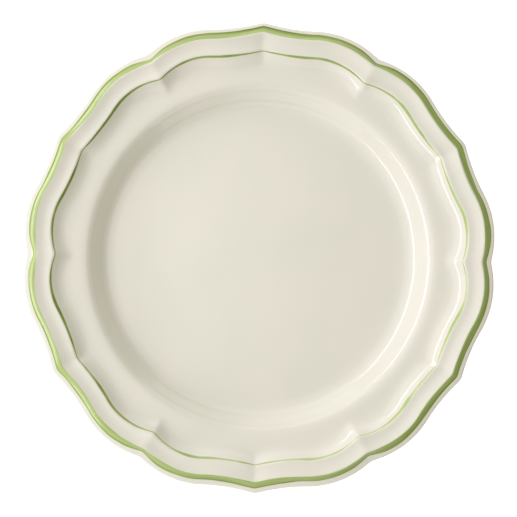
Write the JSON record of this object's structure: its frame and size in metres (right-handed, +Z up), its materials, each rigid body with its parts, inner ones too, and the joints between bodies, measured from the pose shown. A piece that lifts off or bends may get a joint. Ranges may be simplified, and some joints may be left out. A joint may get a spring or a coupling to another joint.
{
  "type": "dinner plate",
  "caption": "Round china dinner plate with a scalloped rim, a broad flat well, a stepped rim and a foot ring; ivory glaze with a green band and a fine green inner line.",
  "frame": {"origin": "centre of the foot ring's bearing plane, on the plate's axis", "axes": "+Z up along the plate's axis, out of the well; +Y towards one outward tip of the scalloped rim; +X towards an inward notch"},
  "size_m": [0.2628, 0.2638, 0.0275],
  "materials": {
    "biscuit_clay": "bare fired clay, matt, pale buff",
    "ivory_glaze": "clear glossy glaze over warm ivory",
    "green_glaze": "glossy glaze stained leaf green by hand"
  },
  "bodies": {
    "root": {"clay_body": "biscuit_clay", "face_glaze": "ivory_glaze", "fine_line": "green_glaze", "ledge_glaze": "ivory_glaze", "rim_band": "green_glaze", "back_glaze": "ivory_glaze", "foot_glaze": "ivory_glaze"}
  },
  "joints": []
}
